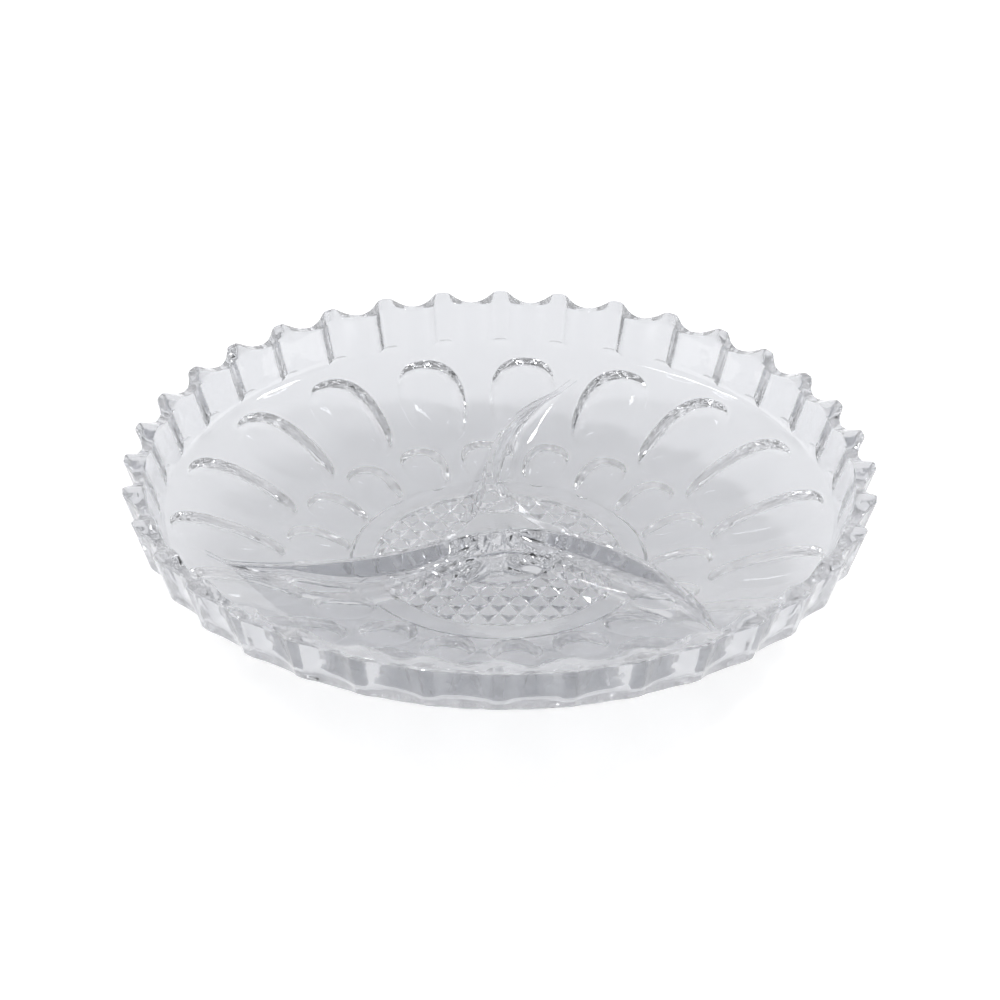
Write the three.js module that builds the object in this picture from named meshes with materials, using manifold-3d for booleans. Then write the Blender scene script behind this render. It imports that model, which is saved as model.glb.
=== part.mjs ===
// Divided serving dish of clear pressed glass: one solid body in millimetres, Z up, standing on z = 0.
// Angles run clockwise from +Y when seen from above. Tooth 0 of the rim points to +Y.
import * as THREE from "three";
import { mergeVertices } from "three/addons/utils/BufferGeometryUtils.js";
import Module from "manifold-3d";

// ---- driving dimensions ----
const RIM_RADIUS = 135; // tips of the rim teeth
const HEIGHT = 46; // foot to tips
const RIM_INNER_RADIUS = 126.2;
const RIM_INNER_Z = 45.4;
const TEETH = 36; // one flute between every two teeth
const FLUTE_RADIUS = 14.3;
const FLUTE_DEPTH = 3.5;
const NOTCH_RADIUS = 16.5; // dip of the rim between two teeth
const NOTCH_DEPTH = 2.8;
const SHOULDER_RADIUS = 129.2; // lower edge of the fluted wall
const SHOULDER_Z = 27.4;
const CHAMFER_RADIUS = 122.2;
const CHAMFER_Z = 23.4;
const DISC_RADIUS = 45.2; // diamond-point disc under the middle
const DISC_Z = 0.9; // tips of the points, clear of the table
const FOOT_INNER_RADIUS = 46.5;
const FOOT_OUTER_RADIUS = 53.3;
const FOOT_EDGE_RADIUS = 54.8;
const FOOT_EDGE_Z = 1.5;
const POINT_PITCH = 6.3; // between neighbouring grooves
const POINT_DEPTH = 2.1;
const POINTS_FROM = 17; // radius of the plain middle of the disc, below the hub
const GROOVE_TURN = THREE.MathUtils.degToRad(30); // either way from +Y
const OVALS = 18; // in each ring
const OVAL_DOME = 0.5; // how much higher the middle of an oval is than the top of its wall
const OVAL_HALF_ANGLE = THREE.MathUtils.degToRad(7.3);
const OUTER_OVAL = { middle: 99.5, half: 20.4, depth: 3.2, start: THREE.MathUtils.degToRad(5) };
const INNER_OVAL = { middle: 66.8, half: 11.4, depth: 2.5, start: THREE.MathUtils.degToRad(15) };
const DIVIDERS = 3;
const CREST_Z = 22.4;
const CREST_FALL_FROM = 67; // radius beyond which the crest comes down to the floor
const CREST_FALL = 2.6; // over the rest of its length
const DIVIDER_END = 107;
const DIVIDER_BURIED = 2.2; // how far a divider's body goes into the floor
const FILLET = 8.5; // where a divider's flank meets the floor
const DRAFT = 0.09; // sideways run of a flank per unit of height
const LATHE_SEGMENTS = 72;
const CUTTER_SEGMENTS = 24;
const OVAL_SEGMENTS = 12;

// Inner face of the bowl from the axis out to the foot of the wall: radius, height.
const FLOOR = [
  [0, 6.85],
  [45, 6.85],
  [56, 7.9],
  [67.5, 10.1],
  [81, 13.6],
  [94.5, 17.8],
  [108, 22.9],
  [119.6, 28.6],
  [122.0, 31.4],
];
// Under face between the foot and the chamfer.
const UNDERSIDE = [
  [69, 4.2],
  [90, 10.2],
  [110, 17.5],
];

const wasm = await Module();
wasm.setup();

/** A closed three.js geometry as a manifold solid. */
function solidFrom(geometry) {
  const bare = geometry.clone();
  bare.deleteAttribute("normal");
  bare.deleteAttribute("uv");
  const merged = mergeVertices(bare, 1e-4);
  return new wasm.Manifold(
    new wasm.Mesh({
      numProp: 3,
      vertProperties: new Float32Array(merged.attributes.position.array),
      triVerts: new Uint32Array(merged.index.array),
    }),
  );
}

/** A manifold solid as a flat-shaded three.js geometry. */
function geometryFrom(solid) {
  const mesh = solid.getMesh();
  const points = new Float32Array(mesh.numVert * 3);
  for (let i = 0; i < mesh.numVert; i++) {
    const from = i * mesh.numProp;
    points.set(mesh.vertProperties.subarray(from, from + 3), i * 3);
  }
  const geometry = new THREE.BufferGeometry();
  geometry.setAttribute("position", new THREE.BufferAttribute(points, 3));
  geometry.setIndex(new THREE.BufferAttribute(new Uint32Array(mesh.triVerts), 1));
  geometry.computeVertexNormals();
  return geometry;
}

/** Height of a run of straight faces at a radius. */
function heightOn(profile, radius) {
  for (let i = 1; i < profile.length; i++) {
    const [r1, z1] = profile[i];
    if (radius > r1) continue;
    const [r0, z0] = profile[i - 1];
    return THREE.MathUtils.mapLinear(radius, r0, r1, z0, z1);
  }
  return profile[profile.length - 1][1];
}

/** Point at an angle clockwise from +Y. */
function polar(radius, angle, z) {
  return new THREE.Vector3(radius * Math.sin(angle), radius * Math.cos(angle), z);
}

/** The turned body: bowl, wall, chamfered shoulder and foot ring. */
function turnedBody() {
  const profile = [
    [0, DISC_Z],
    [DISC_RADIUS, DISC_Z],
    [FOOT_INNER_RADIUS, 0],
    [FOOT_OUTER_RADIUS, 0],
    [FOOT_EDGE_RADIUS, FOOT_EDGE_Z],
    ...UNDERSIDE,
    [CHAMFER_RADIUS, CHAMFER_Z],
    [SHOULDER_RADIUS, SHOULDER_Z],
    [RIM_RADIUS, HEIGHT],
    [RIM_INNER_RADIUS, RIM_INNER_Z],
    ...[...FLOOR].reverse(),
  ];
  const points = profile.map(([r, z]) => new THREE.Vector2(r, z));
  const lathe = new THREE.LatheGeometry(points, LATHE_SEGMENTS);
  return solidFrom(lathe.rotateX(Math.PI / 2));
}

/** Upright cutters that hollow the outer wall between the teeth, leaning with the wall. */
function flutes() {
  const lean = Math.atan2(RIM_RADIUS - SHOULDER_RADIUS, HEIGHT - SHOULDER_Z);
  const halfway = (HEIGHT + SHOULDER_Z) / 2;
  const wall = (RIM_RADIUS + SHOULDER_RADIUS) / 2;
  const tool = new THREE.CylinderGeometry(FLUTE_RADIUS, FLUTE_RADIUS, 48, CUTTER_SEGMENTS)
    .rotateX(Math.PI / 2)
    .rotateX(-lean)
    .translate(0, wall + FLUTE_RADIUS - FLUTE_DEPTH, halfway);
  return around(tool, TEETH, 0.5);
}

/** Level cutters that dip the rim between the teeth. */
function notches() {
  const tool = new THREE.CylinderGeometry(NOTCH_RADIUS, NOTCH_RADIUS, 24, CUTTER_SEGMENTS)
    .translate(0, RIM_RADIUS - 6, HEIGHT + NOTCH_RADIUS - NOTCH_DEPTH);
  return around(tool, TEETH, 0.5);
}

/** Copies of a tool turned about Z; phase is in steps. */
function around(tool, count, phase) {
  return Array.from({ length: count }, (_, i) => {
    const turn = (-(i + phase) * 2 * Math.PI) / count;
    return solidFrom(tool.clone().rotateZ(turn));
  });
}

/** One thumbprint cutter: a gently domed middle inside a sloping wall, bent to polar coordinates. */
function thumbprint(ring, index) {
  const heights = [
    [0, ring.depth + OVAL_DOME],
    [0.68, ring.depth],
    [1.15, -1.6],
    [0, -1.6],
  ];
  const profile = heights.map(([r, z]) => new THREE.Vector2(r, z)).reverse();
  const tool = new THREE.LatheGeometry(profile, OVAL_SEGMENTS).rotateX(Math.PI / 2);
  const angle = ring.start + (index * 2 * Math.PI) / OVALS;
  const under = [[FOOT_EDGE_RADIUS, FOOT_EDGE_Z], ...UNDERSIDE, [CHAMFER_RADIUS, CHAMFER_Z]];
  const spot = tool.attributes.position;
  for (let i = 0; i < spot.count; i++) {
    const radius = ring.middle + ring.half * spot.getY(i);
    const turn = angle + OVAL_HALF_ANGLE * spot.getX(i);
    const base = heightOn(under, radius);
    const p = polar(radius, turn, base + spot.getZ(i));
    spot.setXYZ(i, p.x, p.y, p.z);
  }
  return solidFrom(tool);
}

/** Crossed V grooves that leave a ring of diamond points round the plain middle. */
function pointGrooves() {
  const length = 2 * DISC_RADIUS + 10;
  const tall = 2 * POINT_DEPTH; // the lower half of a blade is below the disc
  const blade = new THREE.CylinderGeometry(1, 1, length, 3)
    .scale((2 * POINT_PITCH) / Math.sqrt(3), 1, tall / 1.5)
    .translate(0, 0, DISC_Z + POINT_DEPTH - (tall * 2) / 3);
  const sides = Math.ceil(DISC_RADIUS / POINT_PITCH);
  const blades = [];
  for (const turn of [GROOVE_TURN, -GROOVE_TURN])
    for (let i = -sides; i <= sides; i++)
      blades.push(solidFrom(blade.clone().translate(i * POINT_PITCH, 0, 0).rotateZ(turn)));
  const disc = new THREE.CylinderGeometry(DISC_RADIUS - 0.4, DISC_RADIUS - 0.4, 8, 36)
    .rotateX(Math.PI / 2);
  const middle = new THREE.CylinderGeometry(POINTS_FROM, POINTS_FROM, 10, 24).rotateX(Math.PI / 2);
  return wasm.Manifold.union(blades).intersect(solidFrom(disc).subtract(solidFrom(middle)));
}

/** Bearing of a divider's crest at a radius, for the divider that points to +Y. */
function crestBearing(radius) {
  const share = radius / RIM_RADIUS;
  return THREE.MathUtils.degToRad(-13.2 + 22 * share + 18 * share * share);
}

/** Half-width of a divider's flat top: a wide hub that narrows to a thin crest. */
function crestHalfWidth(radius) {
  return 1.2 + 8.2 * Math.exp(-((radius / 13) ** 1.5));
}

/** Height of a divider's crest at a radius. */
function crestHeight(radius) {
  const run = (radius - CREST_FALL_FROM) / (DIVIDER_END - CREST_FALL_FROM);
  return CREST_Z - CREST_FALL * Math.max(0, run);
}

/** One divider: a thin crest on steep flanks that sweep into the floor, bent along its crest line. */
function divider(index) {
  const stations = 15;
  const steps = [0, 0.3, 0.62, 1];
  const turn = (index * 2 * Math.PI) / DIVIDERS;
  const rows = [];
  for (let s = 0; s <= stations; s++) {
    const along = (DIVIDER_END * s) / stations;
    const top = crestHeight(along);
    const rise = Math.max(0.3, top - heightOn(FLOOR, along));
    const arc = Math.min(FILLET, rise);
    const flat = crestHalfWidth(along);
    const flank = flat + DRAFT * (rise - arc);
    const side = [[flat, rise]];
    for (const step of steps) {
      const a = (step * Math.PI) / 2;
      side.push([flank + FILLET * 0.02 + arc * (1 - Math.cos(a)), arc * (1 - Math.sin(a))]);
    }
    side.push([flank + arc + 0.4, -DIVIDER_BURIED]);
    const section = [...[...side].reverse().map(([d, h]) => [-d, h]), ...side];
    const bearing = crestBearing(Math.max(along, 8)) + turn;
    const spine = polar(along, bearing, 0);
    const across = polar(1, bearing + Math.PI / 2, 0);
    rows.push(
      section.map(([d, h]) => {
        const p = spine.clone().addScaledVector(across, d);
        const level = h === rise ? top - rise : heightOn(FLOOR, Math.hypot(p.x, p.y));
        return p.setZ(level + h);
      }),
    );
  }
  return solidFrom(loft(rows));
}

/** Skin over a run of equal sections, capped at both ends. */
function loft(rows) {
  const width = rows[0].length;
  const index = [];
  for (let s = 0; s + 1 < rows.length; s++)
    for (let i = 0; i < width; i++) {
      const j = (i + 1) % width;
      const a = s * width;
      const b = a + width;
      index.push(a + i, a + j, b + i, a + j, b + j, b + i);
    }
  const last = (rows.length - 1) * width;
  for (let i = 0; i < width / 2 - 1; i++) {
    const j = width - 1 - i;
    index.push(i, j, i + 1, j, j - 1, i + 1);
    index.push(last + i, last + i + 1, last + j, last + j, last + i + 1, last + j - 1);
  }
  const geometry = new THREE.BufferGeometry().setFromPoints(rows.flat());
  geometry.setIndex(index);
  return geometry;
}

/** The finished dish. */
function dish() {
  const cutters = [...flutes(), ...notches(), pointGrooves()];
  for (const ring of [OUTER_OVAL, INNER_OVAL])
    for (let i = 0; i < OVALS; i++) cutters.push(thumbprint(ring, i));
  const dividers = Array.from({ length: DIVIDERS }, (_, i) => divider(i));
  const body = turnedBody().subtract(wasm.Manifold.union(cutters));
  const glass = new THREE.MeshStandardMaterial({ color: 0xe9eef0, roughness: 0.03 });
  const mesh = new THREE.Mesh(geometryFrom(wasm.Manifold.union([body, ...dividers])), glass);
  mesh.name = "dish";
  return mesh;
}

const root = new THREE.Group();
root.name = "divided_dish";
root.add(dish());

export default root;
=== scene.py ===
"""Divided serving dish of clear pressed glass, standing on a pale studio floor.

Sizes are in millimetres and meshes are made in metres. Bearings run clockwise from +Y, seen from above.
One tooth of the wall, one thumbprint of each ring, one groove and one divider are modelled; Geometry Nodes
repeat them and press them into a single closed body.
"""

import logging
import math
from dataclasses import dataclass, field
from enum import Enum

import bpy
from mathutils import Matrix, Vector


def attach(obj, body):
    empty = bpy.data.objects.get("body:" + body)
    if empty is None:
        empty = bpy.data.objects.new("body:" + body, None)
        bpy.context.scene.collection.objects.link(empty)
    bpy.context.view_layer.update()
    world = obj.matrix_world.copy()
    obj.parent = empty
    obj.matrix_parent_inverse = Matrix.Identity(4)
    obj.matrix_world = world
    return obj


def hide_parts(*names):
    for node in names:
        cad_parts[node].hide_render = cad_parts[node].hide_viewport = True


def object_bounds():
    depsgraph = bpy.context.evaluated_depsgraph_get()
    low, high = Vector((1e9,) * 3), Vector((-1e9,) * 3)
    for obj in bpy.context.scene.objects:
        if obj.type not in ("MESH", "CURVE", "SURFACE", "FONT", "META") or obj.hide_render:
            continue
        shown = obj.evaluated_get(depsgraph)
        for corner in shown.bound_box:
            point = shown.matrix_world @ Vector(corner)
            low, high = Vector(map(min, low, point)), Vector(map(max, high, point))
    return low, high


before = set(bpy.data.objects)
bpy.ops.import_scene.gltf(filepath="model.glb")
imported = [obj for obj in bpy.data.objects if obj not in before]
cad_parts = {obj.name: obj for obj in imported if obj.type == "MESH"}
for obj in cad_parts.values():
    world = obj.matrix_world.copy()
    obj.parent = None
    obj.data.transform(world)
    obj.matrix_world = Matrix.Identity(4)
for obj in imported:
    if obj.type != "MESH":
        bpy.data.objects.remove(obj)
CAD_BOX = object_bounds()

MM = 0.001
LOG = logging.getLogger("dish")
Point = tuple[float, float, float]
Section = list[tuple[float, float]]


class BooleanMode(Enum):
    """How two solids are put together."""

    UNION = "UNION"
    DIFFERENCE = "DIFFERENCE"
    INTERSECT = "INTERSECT"


class SocketKind(Enum):
    """Types of the named inputs of a node tree."""

    GEOMETRY = "NodeSocketGeometry"
    COUNT = "NodeSocketInt"
    SIZE = "NodeSocketFloat"
    OBJECT = "NodeSocketObject"
    MATERIAL = "NodeSocketMaterial"


# ---- shared geometry ----


def polar(radius: float, bearing: float, height: float) -> Point:
    """Point at a bearing clockwise from +Y."""
    return radius * math.sin(bearing), radius * math.cos(bearing), height


def soft_min(first: float, second: float, blend: float) -> float:
    """Lower of two values, rounded over where they are within blend of each other.

    Args:
        first: One value.
        second: The other value.
        blend: Width of the rounding.

    Returns:
        The rounded minimum.
    """
    share = max(blend - abs(first - second), 0.0) / blend
    return min(first, second) - share * share * blend / 4


def smooth_step(value: float) -> float:
    """Ease from 0 to 1 with level ends."""
    share = min(max(value, 0.0), 1.0)
    return share * share * (3 - 2 * share)


def spread(start: float, end: float, steps: int) -> list[float]:
    """Evenly spaced values after start, up to and including end."""
    return [start + (end - start) * (i + 1) / steps for i in range(steps)]


def make_mesh(name: str, points: list[Point], faces: list[tuple[int, ...]]) -> bpy.types.Object:
    """Make a mesh object from points in millimetres.

    Args:
        name: Name of the object and its mesh.
        points: Vertex places in millimetres.
        faces: Vertex numbers of each face, counter-clockwise from outside.

    Returns:
        The new object, linked to the scene.
    """
    mesh = bpy.data.meshes.new(name)
    mesh.from_pydata([tuple(c * MM for c in p) for p in points], [], faces)
    mesh.validate()
    made = bpy.data.objects.new(name, mesh)
    bpy.context.scene.collection.objects.link(made)
    return made


def skin_rows(rows: int, width: int, closed: bool) -> list[tuple[int, ...]]:
    """Quads between neighbouring rows of points.

    Args:
        rows: How many rows there are.
        width: Points in each row.
        closed: Whether each row's last point joins its first.

    Returns:
        The faces as vertex numbers.
    """
    faces = []
    across = width if closed else width - 1
    for row in range(rows - 1):
        for i in range(across):
            j = (i + 1) % width
            low, high = row * width, (row + 1) * width
            faces.append((low + i, low + j, high + j, high + i))
    return faces


# ---- the pressed body ----


@dataclass
class Bowl:
    """Turned shape of the dish: its floor, its underside and its foot ring."""

    rim_radius: float
    height: float
    flat_radius: float = 45.0
    flat_height: float = 6.85
    slope: float = 0.026
    slope_power: float = 1.55
    thickness: float = 6.2
    flat_row: float = 24.0
    disc_row: float = 22.0
    disc_radius: float = 45.2
    disc_height: float = 0.9
    foot_inner: float = 46.5
    foot_inner_rounding: tuple[tuple[float, float], ...] = ((-0.5, 0.16), (0.2, 0.0))
    foot_outer: float = 53.3
    foot_outer_rounding: tuple[tuple[float, float], ...] = ((-0.3, 0.0), (0.4, 0.12), (1.0, 0.6))
    foot_edge: float = 54.8
    foot_edge_height: float = 1.5
    foot_blend: float = 14.0
    corner_radius: float = 119.2
    corner_pull: tuple[float, float] = (-0.5, 1.2)
    corner_steps: int = 4
    wall_foot: float = 122.0
    wall_foot_height: float = 31.6
    slope_steps: int = 15

    def floor(self, radius: float) -> float:
        """Height of the inner face at a radius."""
        return self.flat_height + self.slope * max(radius - self.flat_radius, 0.0) ** self.slope_power

    def underside(self, radius: float) -> float:
        """Height of the outer face between the foot and the shoulder.

        Args:
            radius: Distance from the axis.

        Returns:
            The height: level with the foot's edge, then an even thickness below the floor.
        """
        blend = smooth_step((radius - self.foot_edge) / self.foot_blend)
        below = self.floor(radius) - self.thickness
        return self.foot_edge_height * (1 - blend) + below * blend

    def bottom_rows(self, shoulder: float) -> Section:
        """Outer face from the axis to the shoulder's lower edge.

        Args:
            shoulder: Radius where the underside ends.

        Returns:
            Radius and height of each row.
        """
        rows = [(r, self.disc_height) for r in (0.0, self.disc_row, self.disc_radius)]
        rows += [(self.foot_inner + out, up) for out, up in self.foot_inner_rounding]
        rows += [(self.foot_outer + out, up) for out, up in self.foot_outer_rounding]
        rows.append((self.foot_edge, self.foot_edge_height))
        rows += [(r, self.underside(r)) for r in spread(self.foot_edge, shoulder, self.slope_steps)]
        return rows

    def floor_rows(self) -> Section:
        """Inner face from the foot of the wall back to the axis.

        Returns:
            Radius and height of each row.
        """
        top = Vector((self.wall_foot, self.wall_foot_height))
        corner = Vector((self.corner_radius, self.floor(self.corner_radius)))
        middle = Vector((top.x + self.corner_pull[0], corner.y + self.corner_pull[1]))
        rows = []
        for share in spread(0.0, 1.0, self.corner_steps):
            bend = top.lerp(middle, share).lerp(middle.lerp(corner, share), share)
            rows.append((bend.x, bend.y))
        inward = spread(self.corner_radius, self.flat_radius, self.slope_steps - 1)
        rows += [(r, self.floor(r)) for r in inward]
        rows += [(self.flat_row, self.flat_height), (0.0, self.flat_height)]
        return rows


@dataclass
class ToothedWall:
    """Fluted outer wall whose rim dips between the teeth."""

    bowl: Bowl
    teeth: int = 36
    shoulder_radius: float = 129.2
    shoulder_height: float = 27.4
    chamfer_radius: float = 122.2
    rim_inner: float = 126.2
    rim_inner_drop: float = 0.6
    flute_radius: float = 14.3
    flute_depth: float = 3.5
    notch_radius: float = 16.5
    notch_depth: float = 2.8
    edge: float = 0.9
    edge_steps: int = 4
    soften: float = 1.1
    lip_drop: float = 1.0
    lip_rounding: tuple[float, float] = (0.7, 0.6)
    lip_clear: float = 0.9
    side_steps: int = 7
    rim_drop: float = 1.5
    corner_from: float = 0.68
    corner_to: float = 0.9

    @property
    def step(self) -> float:
        """Angle from one tooth to the next."""
        return 2 * math.pi / self.teeth

    def face(self, height: float, turn: float) -> float:
        """Radius of the outer face.

        Args:
            height: Height on the wall.
            turn: Angle from the middle of the flute.

        Returns:
            The radius, hollowed by the flute.
        """
        rise = (height - self.shoulder_height) / (self.bowl.height - self.shoulder_height)
        wall = self.shoulder_radius + (self.bowl.rim_radius - self.shoulder_radius) * rise
        centre = wall + self.flute_radius - self.flute_depth
        reach = math.sqrt(self.flute_radius**2 - (centre * math.sin(turn)) ** 2)
        return soft_min(wall, centre * math.cos(turn) - reach, self.soften)

    def rim(self, radius: float, turn: float) -> float:
        """Height of the rim.

        Args:
            radius: Place across the rim.
            turn: Angle from the middle of the flute.

        Returns:
            The height, dipped between two teeth.
        """
        share = (self.bowl.rim_radius - radius) / (self.bowl.rim_radius - self.rim_inner)
        level = self.bowl.height - self.rim_inner_drop * share
        sideways = radius * math.sin(turn)
        lift = self.notch_radius - math.sqrt(self.notch_radius**2 - sideways**2)
        return soft_min(level, self.bowl.height - self.notch_depth + lift, self.soften)

    def column_turns(self) -> list[float]:
        """Angles of the columns of one flute, closer together round the corners of the teeth.

        Returns:
            The angles from the middle of the flute, from one tooth to the next.
        """
        half = [0.0] + spread(0.0, self.corner_from, 4)
        half += spread(self.corner_from, self.corner_to, 4) + spread(self.corner_to, 1.0, 1)
        turns = [-t for t in reversed(half[1:])] + half
        return [t * self.step / 2 for t in turns]

    def column(self, turn: float) -> Section:
        """Outline of the dish at one angle of a flute, from the axis below to the axis above.

        Args:
            turn: Angle from the middle of the flute.

        Returns:
            Radius and height of each point.
        """
        bowl = self.bowl
        rows = bowl.bottom_rows(self.chamfer_radius)
        low = Vector(rows[-1])
        tilt = (self.shoulder_height - low.y) / (self.shoulder_radius - low.x)
        lip = self.face(self.shoulder_height - self.lip_drop, turn)
        lip_height = low.y + tilt * (lip - low.x)
        for share in spread(0.0, 1.0, 3):
            chamfer = low.lerp(Vector((lip - self.lip_rounding[0], lip_height)), share)
            rows.append((chamfer.x, chamfer.y))
        outer = self.face(bowl.height - self.rim_drop, turn)
        top = self.rim(outer, turn)
        side_top = top - self.edge
        sides = [lip_height + self.lip_rounding[1]]
        sides += spread(lip_height + self.lip_clear, side_top, self.side_steps)
        for height in sides:
            rows.append((self.face(height, turn), height))
        rim_face = rows[-1][0]
        for share in spread(0.0, 1.0, self.edge_steps):
            bend = share * math.pi / 2
            radius = rim_face - self.edge * (1 - math.cos(bend))
            rows.append((radius, side_top + (self.rim(radius, turn) - side_top) * math.sin(bend)))
        inner_flat = self.rim_inner + self.edge
        rows += [(r, self.rim(r, turn)) for r in spread(rows[-1][0], inner_flat, 3)]
        inner_top = rows[-1][1]
        for share in spread(0.0, 1.0, self.edge_steps):
            bend = share * math.pi / 2
            radius = inner_flat - self.edge * math.sin(bend)
            rows.append((radius, inner_top - self.edge * (1 - math.cos(bend))))
        start = Vector(rows[-1])
        for share in spread(0.0, 1.0, 4):
            inside = start.lerp(Vector((bowl.wall_foot, bowl.wall_foot_height)), share)
            rows.append((inside.x, inside.y))
        return rows + bowl.floor_rows()

    def build(self) -> bpy.types.Object:
        """Make one flute's slice of the whole body, from axis to axis.

        Returns:
            An open slice that closes up when it is repeated round the axis.
        """
        turns = self.column_turns()
        columns = [self.column(turn) for turn in turns]
        bearing = self.step / 2
        points = [polar(r, bearing + turn, z) for turn, column in zip(turns, columns) for r, z in column]
        return make_mesh("flute_slice", points, skin_rows(len(columns), len(columns[0]), False))


@dataclass
class Thumbprint:
    """Oval pressed into the underside: a gently domed crown inside a rounded wall of even width."""

    bowl: Bowl
    name: str
    middle: float
    half_length: float
    half_angle: float
    wall: float
    depth: float
    dome: float = 0.25
    skirt: tuple[tuple[float, float], ...] = ((-1.25, -1.5), (-1.2, -0.06), (-0.8, 0.01))
    lip: float = 0.3
    lip_inset: float = -0.4
    wall_shares: tuple[float, ...] = (0.03, 0.1, 0.2, 0.32, 0.46, 0.62, 0.8, 1.0)
    crown_shares: tuple[float, ...] = (0.66, 0.33)
    straightness: float = 0.5
    squareness: float = 2.25
    segments: int = 56

    def wall_height(self, inset: float) -> float:
        """Height of the wall, between a straight slope and an arc that levels out inside.

        Args:
            inset: Distance in from the outline.

        Returns:
            Height above the underside.
        """
        radius = (self.wall**2 + self.depth**2) / (2 * self.depth)
        left = self.wall - inset
        arc = self.depth - radius + math.sqrt(radius**2 - left**2)
        slope = self.depth * inset / self.wall
        return self.lip + arc + (slope - arc) * self.straightness

    def rings(self) -> list[tuple[float, float, float]]:
        """Rings of the cutter, from below the glass to near the middle of the crown.

        Returns:
            Each ring's inset from the outline, share of what is left that it keeps, and depth.
        """
        rings = [(inset, 1.0, depth) for inset, depth in self.skirt]
        rings.append((self.lip_inset, 1.0, self.lip / 3))
        for step in self.wall_shares:
            rings.append((self.wall * step, 1.0, self.wall_height(self.wall * step)))
        crown = rings[-1][2]
        for share in self.crown_shares:
            rings.append((self.wall, share, crown + self.dome * (1 - share * share)))
        return rings

    def squared(self, value: float) -> float:
        """Sine or cosine of a slightly squared oval."""
        return math.copysign(abs(value) ** (2 / self.squareness), value)

    def place(self, inset: float, share: float, around: float, depth: float) -> Point:
        """Point of the cutter, bent to follow the bowl.

        Args:
            inset: Distance in from the outline.
            share: Share of what is left of the half-size after the inset.
            around: Angle round the oval.
            depth: Height above the underside.

        Returns:
            The point in millimetres.
        """
        half_width = self.half_angle * self.middle
        along = (self.half_length - inset) * share * self.squared(math.cos(around))
        across = (half_width - inset) * share * self.squared(math.sin(around))
        radius = self.middle + along
        return polar(radius, across / self.middle, self.bowl.underside(radius) + depth)

    def build(self) -> bpy.types.Object:
        """Make the cutter at bearing zero.

        Returns:
            A closed solid that reaches a little way out of the glass.
        """
        rings = self.rings()
        turns = [2 * math.pi * i / self.segments for i in range(self.segments)]
        points = [self.place(inset, share, turn, depth) for inset, share, depth in rings for turn in turns]
        faces = [tuple(reversed(face)) for face in skin_rows(len(rings), self.segments, True)]
        base, crown, last = len(points), len(points) + 1, (len(rings) - 1) * self.segments
        points.append(self.place(0.0, 0.0, 0.0, rings[0][2]))
        points.append(self.place(self.wall, 0.0, 0.0, self.lip + self.depth + self.dome))
        for i in range(self.segments):
            j = (i + 1) % self.segments
            faces.append((i, j, base))
            faces.append((last + j, last + i, crown))
        return make_mesh(self.name, points, faces)


@dataclass
class PointDisc:
    """Crossed V grooves under the middle of the dish, which leave rows of diamond points."""

    bowl: Bowl
    pitch: float = 6.3
    depth: float = 2.1
    turn: float = math.radians(30)
    margin: float = 0.4
    overrun: float = 5.0
    reach: float = 4.0
    smooth_radius: float = 17.0
    sides: int = 72

    @property
    def count(self) -> int:
        """Grooves in each direction."""
        return 2 * math.ceil(self.bowl.disc_radius / self.pitch) + 1

    def build_groove(self) -> bpy.types.Object:
        """Make one groove's blade along Y, with its ridge inside the glass.

        Returns:
            A closed three-sided bar.
        """
        half_length = self.bowl.disc_radius + self.overrun
        ridge = self.bowl.disc_height + self.depth
        below = self.bowl.disc_height - self.depth
        points = []
        for y in (-half_length, half_length):
            points += [(-self.pitch, y, below), (self.pitch, y, below), (0.0, y, ridge)]
        faces = [(0, 1, 2), (5, 4, 3), (0, 3, 4, 1), (1, 4, 5, 2), (2, 5, 3, 0)]
        return make_mesh("groove_blade", points, faces)

    def build_bounds(self) -> bpy.types.Object:
        """Make the ring-shaped block that the grooves stay inside.

        Returns:
            A closed square-section ring, round the smooth middle below the hub.
        """
        inner, outer, reach = self.smooth_radius, self.bowl.disc_radius - self.margin, self.reach
        corners = [(inner, reach), (inner, -reach), (outer, -reach), (outer, reach)]
        outline = corners + corners[:1]
        turns = [2 * math.pi * i / self.sides for i in range(self.sides)]
        points = [polar(radius, turn, height) for radius, height in corners for turn in turns]
        faces = []
        for face in skin_rows(len(outline), self.sides, True):
            faces.append(tuple(i % len(points) for i in reversed(face)))
        return make_mesh("groove_bounds", points, faces)


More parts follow.
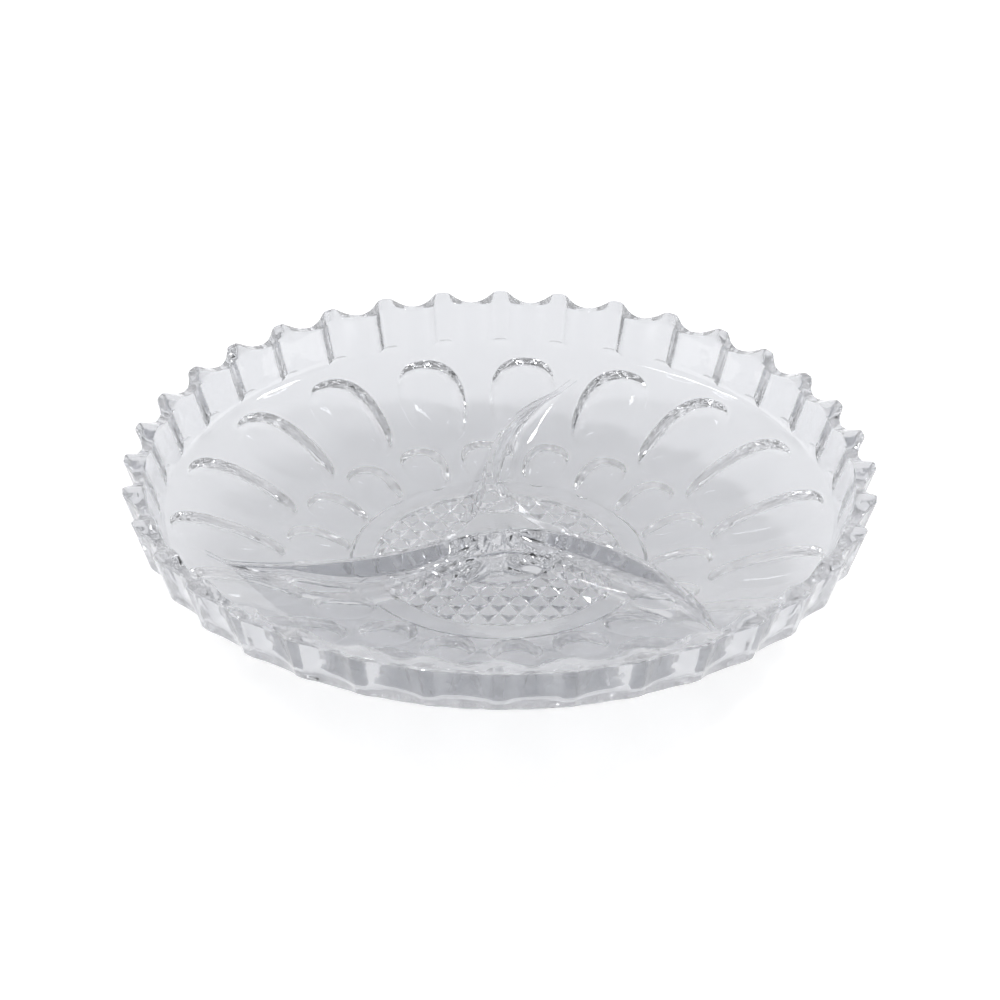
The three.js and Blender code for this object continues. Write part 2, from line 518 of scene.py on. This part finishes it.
@dataclass
class Divider:
    """Curved partition that runs from the hub and sinks into the floor short of the wall."""

    bowl: Bowl
    count: int = 3
    crest_height: float = 22.4
    fall_from: float = 67.0
    fall: float = 2.6
    end: float = 107.0
    buried: float = 2.2
    fillet: float = 8.5
    draft: float = 0.09
    start: float = -4.0
    stations: int = 60
    crest_half_width: float = 1.2
    hub_half_width: float = 8.2
    hub_reach: float = 13.0
    hub_falloff: float = 1.5
    crest_edge: float = 0.8
    crown_radius: float = 32.0
    crown_blend: float = 26.0
    first_bearing: float = -13.2
    sweep: float = 22.0
    hook: float = 18.0
    steady_radius: float = 8.0
    least_rise: float = 0.3
    flank_ease: float = 0.02
    skirt_run: float = 1.0
    skirt_drop: float = 0.12
    skirt_turn: float = 0.2
    fillet_turn: float = math.radians(84)

    def bearing(self, radius: float) -> float:
        """Bearing of the crest at a radius."""
        share = radius / self.bowl.rim_radius
        return math.radians(self.first_bearing + self.sweep * share + self.hook * share * share)

    def half_width(self, radius: float) -> float:
        """Half-width of the top: a wide hub that narrows to a thin crest."""
        hub = math.exp(-((radius / self.hub_reach) ** self.hub_falloff))
        return self.crest_half_width + self.hub_half_width * hub

    def crest(self, radius: float) -> float:
        """Height of the crest at a radius."""
        run = (radius - self.fall_from) / (self.end - self.fall_from)
        return self.crest_height - self.fall * max(0.0, run)

    def top(self, x: float, y: float) -> float:
        """Height of the rounded top, which joins the crests of all the dividers in one soft hub.

        Args:
            x: Place across.
            y: Place along.

        Returns:
            The height in millimetres.
        """
        radius = math.hypot(x, y)
        here = math.atan2(x, y)
        spread_squared = None
        for number in range(self.count):
            crest = self.bearing(max(radius, self.steady_radius)) + 2 * math.pi * number / self.count
            apart = abs(math.remainder(here - crest, 2 * math.pi))
            squared = (radius * math.sin(min(apart, math.pi / 2))) ** 2
            if spread_squared is None:
                spread_squared = squared
            else:
                spread_squared = soft_min(spread_squared, squared, self.crown_blend)
        return self.crest(radius) - max(spread_squared, 0.0) / (2 * self.crown_radius)

    def section(self, along: float) -> list[tuple[float, float, bool]]:
        """One side of the section at a radius.

        Args:
            along: Radius of the station.

        Returns:
            Distance from the crest line, height above the floor and whether it hangs from the crest.
        """
        rise = max(self.least_rise, self.crest(along) - self.bowl.floor(along))
        arc = min(self.fillet, rise)
        flat = self.half_width(max(along, 0.0))
        edge = min(self.crest_edge, rise / 3, flat * 0.6)
        side = [((flat - edge) * share, 0.0, True) for share in (0.0, 0.25, 0.5, 0.75, 1.0)]
        for share in spread(0.0, 1.0, 4):
            bend = share * math.pi / 2
            side.append((flat - edge * (1 - math.sin(bend)), -edge * (1 - math.cos(bend)), True))
        flank = flat + self.draft * max(rise - arc, 0.0) + self.fillet * self.flank_ease
        for share in [0.0] + spread(0.0, 1.0, 12):
            bend = share * self.fillet_turn
            side.append((flank + arc * (1 - math.cos(bend)), arc * (1 - math.sin(bend)), False))
        side.append((side[-1][0] + self.skirt_run, -self.skirt_drop, False))
        side.append((side[-1][0] + self.skirt_turn, -self.buried, False))
        return side

    def row(self, along: float) -> list[Point]:
        """Closed section of the divider at a radius, from one buried edge to the other.

        Args:
            along: Radius of the station.

        Returns:
            The section's points in millimetres.
        """
        bearing = self.bearing(max(along, self.steady_radius))
        spine = Vector(polar(along, bearing, 0.0))
        across = Vector(polar(1.0, bearing + math.pi / 2, 0.0))
        side = self.section(along)
        both = [(-d, h, top) for d, h, top in reversed(side)] + side[1:]
        points = []
        for distance, height, on_crest in both:
            place = spine + across * distance
            base = self.top(place.x, place.y) if on_crest else self.bowl.floor(place.length)
            points.append((place.x, place.y, base + height))
        return points

    def build(self) -> bpy.types.Object:
        """Make one divider at bearing zero.

        Returns:
            A closed solid, partly buried in the floor.
        """
        rows = [self.row(along) for along in [self.start] + spread(self.start, self.end, self.stations)]
        width = len(rows[0])
        faces = skin_rows(len(rows), width, True)
        faces.append(tuple(reversed(range(width))))
        last = (len(rows) - 1) * width
        faces.append(tuple(range(last, last + width)))
        return make_mesh("divider_blank", [p for row in rows for p in row], faces)


# ---- the node tree that repeats and presses ----


class PressTree:
    """Geometry Nodes tree that turns one slice, two cutters, a groove and a divider into the whole dish."""

    def __init__(self) -> None:
        """Start an empty tree with its output."""
        self.tree = bpy.data.node_groups.new("press_dish", "GeometryNodeTree")
        self.tree.interface.new_socket("Geometry", in_out="OUTPUT", socket_type=SocketKind.GEOMETRY.value)
        self.sockets: dict[str, str] = {}
        self.add_input("Slice", SocketKind.GEOMETRY)
        for name in ("Outer Print", "Inner Print", "Groove", "Groove Bounds", "Divider"):
            self.add_input(name, SocketKind.OBJECT)
        for name in ("Teeth", "Prints", "Grooves", "Dividers"):
            self.add_input(name, SocketKind.COUNT)
        for name in ("Outer Start", "Inner Start", "Groove Pitch", "Groove Turn"):
            self.add_input(name, SocketKind.SIZE)
        self.add_input("Glass", SocketKind.MATERIAL)
        self.entry = self.tree.nodes.new("NodeGroupInput")
        self.exit = self.tree.nodes.new("NodeGroupOutput")

    def add_input(self, name: str, kind: SocketKind) -> None:
        """Add one named input."""
        made = self.tree.interface.new_socket(name, in_out="INPUT", socket_type=kind.value)
        self.sockets[name] = made.identifier

    def node(self, kind: str, **inputs: object) -> bpy.types.Node:
        """Add a node and fill or link its inputs.

        Args:
            kind: The node's type.
            inputs: A value or an output socket for each input, by its name with _ for a space.

        Returns:
            The node.
        """
        made = self.tree.nodes.new(kind)
        for name, value in inputs.items():
            socket = made.inputs[name.replace("_", " ")]
            self.feed(socket, value)
        return made

    def feed(self, socket: bpy.types.NodeSocket, value: object) -> None:
        """Link an output to an input, or set the input's own value.

        Args:
            socket: The input.
            value: An output socket, or a plain value.
        """
        if isinstance(value, bpy.types.NodeSocket):
            self.tree.links.new(value, socket)
        else:
            socket.default_value = value

    def calculate(self, operation: str, *values: object) -> bpy.types.NodeSocket:
        """Add a Math node.

        Args:
            operation: The node's operation.
            values: A number or an output socket for each input, in order.

        Returns:
            The result's socket.
        """
        made = self.tree.nodes.new("ShaderNodeMath")
        made.operation = operation
        for socket, value in zip(made.inputs, values):
            self.feed(socket, value)
        return made.outputs[0]

    def vector(self, **parts: object) -> bpy.types.NodeSocket:
        """Combine X, Y and Z."""
        return self.node("ShaderNodeCombineXYZ", **parts).outputs[0]

    def shape(self, name: str) -> bpy.types.NodeSocket:
        """Geometry of an object input."""
        return self.node("GeometryNodeObjectInfo", Object=self.entry.outputs[name]).outputs["Geometry"]

    def around(self, shape: bpy.types.NodeSocket, count: str, start: str | None) -> bpy.types.NodeSocket:
        """Copies of a shape turned about the axis.

        Args:
            shape: What is repeated.
            count: Name of the input that says how many.
            start: Name of the input with the first copy's bearing, or None for zero.

        Returns:
            The copies as instances.
        """
        number = self.entry.outputs[count]
        index = self.node("GeometryNodeInputIndex").outputs[0]
        step = self.calculate("DIVIDE", 2 * math.pi, number)
        turn = self.calculate("MULTIPLY", index, step)
        if start:
            turn = self.calculate("ADD", turn, self.entry.outputs[start])
        euler = self.vector(Z=self.calculate("MULTIPLY", turn, -1.0))
        rotation = self.node("FunctionNodeEulerToRotation", Euler=euler).outputs[0]
        points = self.node("GeometryNodePoints", Count=number).outputs[0]
        copies = self.node("GeometryNodeInstanceOnPoints", Points=points, Instance=shape, Rotation=rotation)
        return copies.outputs[0]

    def blade_row(self, turn: bpy.types.NodeSocket) -> bpy.types.NodeSocket:
        """One family of parallel groove blades.

        Args:
            turn: Angle of the family about the axis.

        Returns:
            The blades as instances.
        """
        number = self.entry.outputs["Grooves"]
        index = self.node("GeometryNodeInputIndex").outputs[0]
        middle = self.calculate("MULTIPLY", self.calculate("SUBTRACT", number, 1.0), 0.5)
        offset = self.calculate("SUBTRACT", index, middle)
        place = self.vector(X=self.calculate("MULTIPLY", offset, self.entry.outputs["Groove Pitch"]))
        points = self.node("GeometryNodePoints", Count=number, Position=place).outputs[0]
        blade = self.shape("Groove")
        blades = self.node("GeometryNodeInstanceOnPoints", Points=points, Instance=blade).outputs[0]
        return self.node("GeometryNodeTransform", Geometry=blades, Rotation=self.vector(Z=turn)).outputs[0]

    def combine(self, mode: BooleanMode, solids: list[bpy.types.NodeSocket]) -> bpy.types.NodeSocket:
        """Join or cut solids.

        Args:
            mode: What is done.
            solids: The solids; for a difference the first one is cut by the others.

        Returns:
            The result.
        """
        made = self.tree.nodes.new("GeometryNodeMeshBoolean")
        made.operation = mode.value
        made.solver = "MANIFOLD"
        if mode is BooleanMode.DIFFERENCE:
            self.tree.links.new(solids[0], made.inputs["Mesh 1"])
            solids = solids[1:]
        for solid in reversed(solids):
            self.tree.links.new(solid, made.inputs["Mesh 2"])
        return made.outputs[0]

    def build(self) -> bpy.types.GeometryNodeTree:
        """Lay out the whole tree.

        Returns:
            The tree, ready for a modifier.
        """
        slices = self.around(self.entry.outputs["Slice"], "Teeth", None)
        skin = self.node("GeometryNodeRealizeInstances", Geometry=slices).outputs[0]
        body = self.node("GeometryNodeMergeByDistance", Geometry=skin, Distance=0.00001).outputs[0]
        outer = self.around(self.shape("Outer Print"), "Prints", "Outer Start")
        inner = self.around(self.shape("Inner Print"), "Prints", "Inner Start")
        turn = self.entry.outputs["Groove Turn"]
        back = self.calculate("MULTIPLY", turn, -1.0)
        lattice = self.combine(BooleanMode.UNION, [self.blade_row(turn), self.blade_row(back)])
        grooves = self.combine(BooleanMode.INTERSECT, [lattice, self.shape("Groove Bounds")])
        pressed = self.combine(BooleanMode.DIFFERENCE, [body, outer, inner, grooves])
        dividers = self.around(self.shape("Divider"), "Dividers", None)
        whole = self.combine(BooleanMode.UNION, [pressed, dividers])
        smooth = self.node("GeometryNodeSetShadeSmooth", Geometry=whole).outputs[0]
        real = self.node("GeometryNodeRealizeInstances", Geometry=smooth).outputs[0]
        glass = self.entry.outputs["Glass"]
        dressed = self.node("GeometryNodeSetMaterial", Geometry=real, Material=glass).outputs[0]
        self.tree.links.new(dressed, self.exit.inputs[0])
        return self.tree


# ---- finishes ----


@dataclass(frozen=True)
class PressedGlass:
    """Clear fire-polished glass: gently wavy, finely rippled by the mould and rubbed under the foot, and
    greyed with painted shade that darkens what is seen through it.
    """

    # The grey tint is painted shade, not the glass's own colour: it darkens the floor seen through the
    # clear glass, standing in for the shade under the dish.
    shade_tint: tuple[float, float, float, float] = (0.61, 0.618, 0.642, 1.0)
    refraction: float = 1.5
    wave_size: float = 0.014
    wave_depth: float = 0.0002
    wave_detail: float = 1.5
    ripple_size: float = 0.0032
    ripple_depth: float = 0.00005
    ripple_detail: float = 2.0
    haze_from: tuple[float, float] = (0.4, 0.75)
    polish: tuple[float, float] = (0.0, 0.02)
    rubbed: float = 0.3
    rubbed_height: float = 0.00035

    def build(self) -> bpy.types.Material:
        """Make the material.

        Returns:
            Glass whose surface waves and haze follow the object's own coordinates.
        """
        made = bpy.data.materials.new("pressed_glass")
        made.use_nodes = True
        nodes, links = made.node_tree.nodes, made.node_tree.links
        shader = nodes["Principled BSDF"]
        # Painted shade: the grey base colour darkens everything seen through the glass.
        shader.inputs["Base Color"].default_value = self.shade_tint
        shader.inputs["Transmission Weight"].default_value = 1.0
        shader.inputs["IOR"].default_value = self.refraction
        place = nodes.new("ShaderNodeTexCoord").outputs["Object"]
        wave = self.noise(made.node_tree, place, self.wave_size, self.wave_detail)
        ripple = self.noise(made.node_tree, place, self.ripple_size, self.ripple_detail)
        broad = nodes.new("ShaderNodeBump")
        broad.inputs["Distance"].default_value = self.wave_depth
        links.new(wave, broad.inputs["Height"])
        fine = nodes.new("ShaderNodeBump")
        fine.inputs["Distance"].default_value = self.ripple_depth
        links.new(ripple, fine.inputs["Height"])
        links.new(broad.outputs[0], fine.inputs["Normal"])
        links.new(fine.outputs[0], shader.inputs["Normal"])
        haze = nodes.new("ShaderNodeMapRange")
        haze.inputs["From Min"].default_value = self.haze_from[0]
        haze.inputs["From Max"].default_value = self.haze_from[1]
        haze.inputs["To Min"].default_value = self.polish[0]
        haze.inputs["To Max"].default_value = self.polish[1]
        links.new(wave, haze.inputs["Value"])
        height = nodes.new("ShaderNodeSeparateXYZ")
        links.new(place, height.inputs[0])
        contact = nodes.new("ShaderNodeMapRange")
        contact.inputs["From Min"].default_value = self.rubbed_height
        contact.inputs["From Max"].default_value = 0.0
        contact.inputs["To Max"].default_value = self.rubbed
        links.new(height.outputs["Z"], contact.inputs["Value"])
        scuff = self.combined(made.node_tree, "MULTIPLY", contact.outputs[0], ripple)
        total = self.combined(made.node_tree, "MAXIMUM", haze.outputs[0], scuff)
        links.new(total, shader.inputs["Roughness"])
        return made

    @staticmethod
    def noise(
        tree: bpy.types.NodeTree, place: bpy.types.NodeSocket, size: float, detail: float
    ) -> bpy.types.NodeSocket:
        """Add a noise texture.

        Args:
            tree: The material's node tree.
            place: Coordinates in metres.
            size: Size of one wave in metres.
            detail: How many finer layers it has.

        Returns:
            The noise's value.
        """
        made = tree.nodes.new("ShaderNodeTexNoise")
        made.inputs["Scale"].default_value = 1 / size
        made.inputs["Detail"].default_value = detail
        tree.links.new(place, made.inputs["Vector"])
        return made.outputs[0]

    @staticmethod
    def combined(
        tree: bpy.types.NodeTree, operation: str, first: bpy.types.NodeSocket, second: bpy.types.NodeSocket
    ) -> bpy.types.NodeSocket:
        """Combine two values.

        Args:
            tree: The material's node tree.
            operation: The Math node's operation.
            first: One value.
            second: The other value.

        Returns:
            The result.
        """
        made = tree.nodes.new("ShaderNodeMath")
        made.operation = operation
        tree.links.new(first, made.inputs[0])
        tree.links.new(second, made.inputs[1])
        return made.outputs[0]


@dataclass(frozen=True)
class StudioWhite:
    """Matt white of the floor."""

    colour: tuple[float, float, float, float] = (0.95, 0.95, 0.95, 1.0)
    roughness: float = 0.9
    glow: float = 0.56

    def build(self) -> bpy.types.Material:
        """Make the material.

        Returns:
            A matt white that also glows a little, to stay even under the soft light.
        """
        made = bpy.data.materials.new("studio_white")
        made.use_nodes = True
        shader = made.node_tree.nodes["Principled BSDF"]
        shader.inputs["Base Color"].default_value = self.colour
        shader.inputs["Roughness"].default_value = self.roughness
        shader.inputs["Emission Color"].default_value = (1.0, 1.0, 1.0, 1.0)
        shader.inputs["Emission Strength"].default_value = self.glow
        return made


# ---- the dish ----


@dataclass
class ServingDish:
    """The whole dish as one body of glass."""

    bowl: Bowl
    prints: int = 18
    sharp_angle: float = math.radians(22)
    wall: ToothedWall = field(init=False)
    outer_print: Thumbprint = field(init=False)
    inner_print: Thumbprint = field(init=False)
    points: PointDisc = field(init=False)
    divider: Divider = field(init=False)
    outer_start: float = math.radians(5)
    inner_start: float = math.radians(15)

    def __post_init__(self) -> None:
        """Set up the features on the bowl."""
        self.wall = ToothedWall(self.bowl)
        self.outer_print = Thumbprint(self.bowl, "outer_print", 99.5, 20.4, math.radians(7.3), 7.6, 3.2)
        self.inner_print = Thumbprint(self.bowl, "inner_print", 66.8, 11.4, math.radians(7.3), 5.2, 3.0)
        self.points = PointDisc(self.bowl)
        self.divider = Divider(self.bowl)

    def build(self, glass: bpy.types.Material) -> bpy.types.Object:
        """Press the dish.

        Args:
            glass: The finish.

        Returns:
            The finished object, a plain mesh at the origin.
        """
        press = PressTree()
        tree = press.build()
        blank = self.wall.build()
        tools = {
            "Outer Print": self.outer_print.build(),
            "Inner Print": self.inner_print.build(),
            "Groove": self.points.build_groove(),
            "Groove Bounds": self.points.build_bounds(),
            "Divider": self.divider.build(),
        }
        values = {
            "Teeth": self.wall.teeth,
            "Prints": self.prints,
            "Grooves": self.points.count,
            "Dividers": self.divider.count,
            "Outer Start": self.outer_start,
            "Inner Start": self.inner_start,
            "Groove Pitch": self.points.pitch * MM,
            "Groove Turn": self.points.turn,
            "Glass": glass,
        }
        modifier = blank.modifiers.new("press", "NODES")
        modifier.node_group = tree
        for name, value in {**tools, **values}.items():
            modifier[press.sockets[name]] = value
        bpy.context.view_layer.update()
        graph = bpy.context.evaluated_depsgraph_get()
        mesh = bpy.data.meshes.new_from_object(blank.evaluated_get(graph))
        mesh.name = "glass_dish"
        mesh.set_sharp_from_angle(angle=self.sharp_angle)
        for scrap in [blank, *tools.values()]:
            bpy.data.objects.remove(scrap)
        made = bpy.data.objects.new("glass_dish", mesh)
        bpy.context.scene.collection.objects.link(made)
        return made


# ---- the studio ----


@dataclass(frozen=True)
class Fade:
    """A change of the room's light along one axis, from what it is to a new level."""

    axis: str
    start: float
    end: float
    level: float


@dataclass(frozen=True)
class Softbox:
    """One soft rectangular light: its place and size in metres and its power in watts."""

    name: str
    place: Point
    size: tuple[float, float]
    power: float

    def build(self) -> None:
        """Hang the light so that it faces the dish."""
        data = bpy.data.lights.new(self.name, "AREA")
        data.shape = "RECTANGLE"
        data.size, data.size_y = self.size
        data.energy = self.power
        light = bpy.data.objects.new(self.name, data)
        bpy.context.scene.collection.objects.link(light)
        light.location = self.place
        light.rotation_euler = (-Vector(self.place)).to_track_quat("-Z", "Y").to_euler()


@dataclass
class Studio:
    """Pale floor, soft lights and the camera, in metres."""

    rim_height: float
    elevation: float = math.radians(30.16)
    distance: float = 1.0601
    swing: float = math.radians(0.234)
    roll: float = math.radians(0.695)
    lens: float = 106.67
    shift: float = -0.0397
    floor_size: float = 12.0
    floor_gap: float = 0.4
    horizon: float = 1.9
    above_horizon: Fade = Fade("Z", 0.3, 0.37, 0.04)
    overhead: Fade = Fade("Z", 0.6, 0.75, 0.5)
    behind: Fade = Fade("Y", 0.45, 0.65, 1.1)
    in_front: Fade = Fade("Y", -0.45, -0.65, 0.5)
    left_strip: Softbox = Softbox("left_strip", (-1.4, 0.3, 1.9), (0.2, 1.2), 9.0)
    right_lamp: Softbox = Softbox("right_lamp", (1.2, 0.5, 1.6), (0.3, 0.3), 8.0)
    bounces: int = 24

    def build_floor(self) -> bpy.types.Object:
        """Make the floor, a little below the foot so that the two never lie in one plane.

        Returns:
            The floor's object.
        """
        half = self.floor_size / 2 / MM
        level = -self.floor_gap
        corners = [(-half, -half, level), (half, -half, level), (half, half, level), (-half, half, level)]
        floor = make_mesh("studio_floor", corners, [(0, 1, 2, 3)])
        floor.data.materials.append(StudioWhite().build())
        return floor

    def build_camera(self) -> bpy.types.Object:
        """Make the camera, looking at the middle of the rim.

        Returns:
            The camera's object.
        """
        data = bpy.data.cameras.new("camera")
        data.lens = self.lens
        data.sensor_width = 36.0
        data.shift_y = self.shift
        data.clip_start = 0.01
        camera = bpy.data.objects.new("camera", data)
        bpy.context.scene.collection.objects.link(camera)
        target = Vector((0.0, 0.0, self.rim_height))
        away = math.cos(self.elevation) * self.distance
        rise = math.sin(self.elevation) * self.distance
        camera.location = target + Vector(polar(away, math.pi + self.swing, rise))
        look = (target - camera.location).to_track_quat("-Z", "Y").to_matrix()
        camera.rotation_euler = (look @ Matrix.Rotation(self.roll, 3, "Z")).to_euler()
        bpy.context.scene.camera = camera
        return camera

    def build_sky(self) -> None:
        """Light the room: bright low down and behind the dish, dim between, and soft overhead."""
        world = bpy.data.worlds.new("studio_sky")
        world.use_nodes = True
        nodes, links = world.node_tree.nodes, world.node_tree.links
        split = nodes.new("ShaderNodeSeparateXYZ")
        links.new(nodes.new("ShaderNodeTexCoord").outputs["Generated"], split.inputs[0])
        strength = None
        for fade in (self.above_horizon, self.overhead, self.behind, self.in_front):
            share = nodes.new("ShaderNodeMapRange")
            share.interpolation_type = "SMOOTHSTEP"
            share.inputs["From Min"].default_value = fade.start
            share.inputs["From Max"].default_value = fade.end
            links.new(split.outputs[fade.axis], share.inputs["Value"])
            mix = nodes.new("ShaderNodeMix")
            mix.inputs["A"].default_value = self.horizon
            mix.inputs["B"].default_value = fade.level
            links.new(share.outputs[0], mix.inputs["Factor"])
            if strength:
                links.new(strength, mix.inputs["A"])
            strength = mix.outputs["Result"]
        backdrop = nodes["Background"]
        backdrop.inputs["Color"].default_value = (1.0, 1.0, 1.0, 1.0)
        links.new(strength, backdrop.inputs["Strength"])
        bpy.context.scene.world = world

    def build(self) -> None:
        """Set the whole studio up."""
        self.build_floor()
        self.build_camera()
        self.build_sky()
        self.left_strip.build()
        self.right_lamp.build()
        light_paths = bpy.context.scene.cycles
        light_paths.max_bounces = self.bounces
        light_paths.glossy_bounces = self.bounces
        light_paths.transmission_bounces = self.bounces
        view = bpy.context.scene.view_settings
        view.view_transform = "Standard"
        view.look = "None"


def main() -> None:
    """Build the studio and the dish, and report each piece."""
    logging.basicConfig(level=logging.INFO, format="%(name)s: %(message)s")
    low, high = CAD_BOX
    bowl = Bowl(rim_radius=(high.x - low.x) / 2 / MM, height=(high.z - low.z) / MM)
    Studio(rim_height=high.z).build()
    LOG.info("studio: floor, lights and camera")
    dish = ServingDish(bowl).build(PressedGlass().build())
    LOG.info("%s: %d vertices, %d faces", dish.name, len(dish.data.vertices), len(dish.data.polygons))
    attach(dish, "root")
    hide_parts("dish")


if __name__ == "__main__":
    main()
